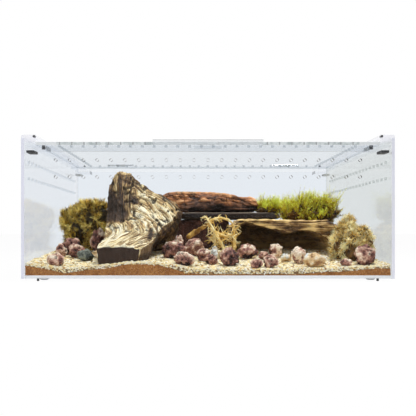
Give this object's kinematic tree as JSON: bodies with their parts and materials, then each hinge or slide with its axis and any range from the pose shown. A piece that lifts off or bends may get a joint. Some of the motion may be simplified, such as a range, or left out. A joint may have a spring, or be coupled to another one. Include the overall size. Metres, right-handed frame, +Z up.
{
  "type": "reptile terrarium",
  "caption": "Low clear acrylic terrarium with vented walls, hinged magnetic lid, stacking rails and a natural soil, gravel, driftwood, bark, rock and moss layout.",
  "frame": {"origin": "on the table, under the middle of the tank's bounding box", "axes": "+X to the right along the front wall, +Y from the front wall to the back, +Z up"},
  "size_m": [0.62, 0.472, 0.243],
  "materials": {
    "clear_acrylic": "polished",
    "black_plastic": "satin",
    "magnet": "satin",
    "pin_steel": "satin",
    "clear_bumper": "gloss",
    "soil": "matte",
    "gravel": "matte",
    "pale_wood": "matte",
    "brown_bark": "matte",
    "dark_wood": "matte",
    "red_bark": "matte",
    "lava_rock": "matte",
    "grey_stone": "matte",
    "pale_stone": "matte",
    "olive_moss": "matte",
    "green_moss": "matte",
    "tan_moss": "matte",
    "straw_root": "matte"
  },
  "bodies": {
    "tank": {"base_panel": "clear_acrylic", "left_side_panel": "clear_acrylic", "right_side_panel": "clear_acrylic", "front_panel": "clear_acrylic", "back_panel": "clear_acrylic", "rear_top_panel": "clear_acrylic", "left_top_strip": "clear_acrylic", "right_top_strip": "clear_acrylic", "left_rail_spacer": "clear_acrylic", "right_rail_spacer": "clear_acrylic", "left_rail_cap": "clear_acrylic", "right_rail_cap": "clear_acrylic", "front_header": "clear_acrylic", "header_catch": "clear_acrylic", "front_corner_blocks": "clear_acrylic", "rear_corner_blocks": "clear_acrylic", "left_hinge_frame_leaf": "clear_acrylic", "right_hinge_frame_leaf": "clear_acrylic", "rail_plugs": "black_plastic", "corner_pads": "black_plastic", "locating_pegs": "black_plastic", "frame_magnets": "magnet", "left_hinge_pin": "pin_steel", "right_hinge_pin": "pin_steel", "bumper_feet": "clear_bumper", "soil_layer": "soil", "gravel_bed": "gravel", "driftwood": "pale_wood", "bark_hide": "brown_bark", "dark_slab": "dark_wood", "bark_slab": "red_bark", "support_stone": "lava_rock", "left_lava_rocks": "lava_rock", "middle_lava_rocks": "lava_rock", "right_lava_rocks": "lava_rock", "grey_stones": "grey_stone", "pale_stones": "pale_stone", "left_moss": "olive_moss", "ridge_moss": "green_moss", "slab_moss": "green_moss", "tan_moss": "tan_moss", "dried_roots": "straw_root"},
    "lid": {"lid_panel": "clear_acrylic", "lid_handle": "clear_acrylic", "lid_magnets": "magnet", "left_hinge_lid_leaf": "clear_acrylic", "right_hinge_lid_leaf": "clear_acrylic"}
  },
  "joints": [
    {"name": "lid_hinge", "type": "hinge", "parent": "tank", "child": "lid", "pos_m": [0, 0.14925, 0.2343], "axis": [-1, 0, 0], "range_deg": [0, 180]}
  ]
}
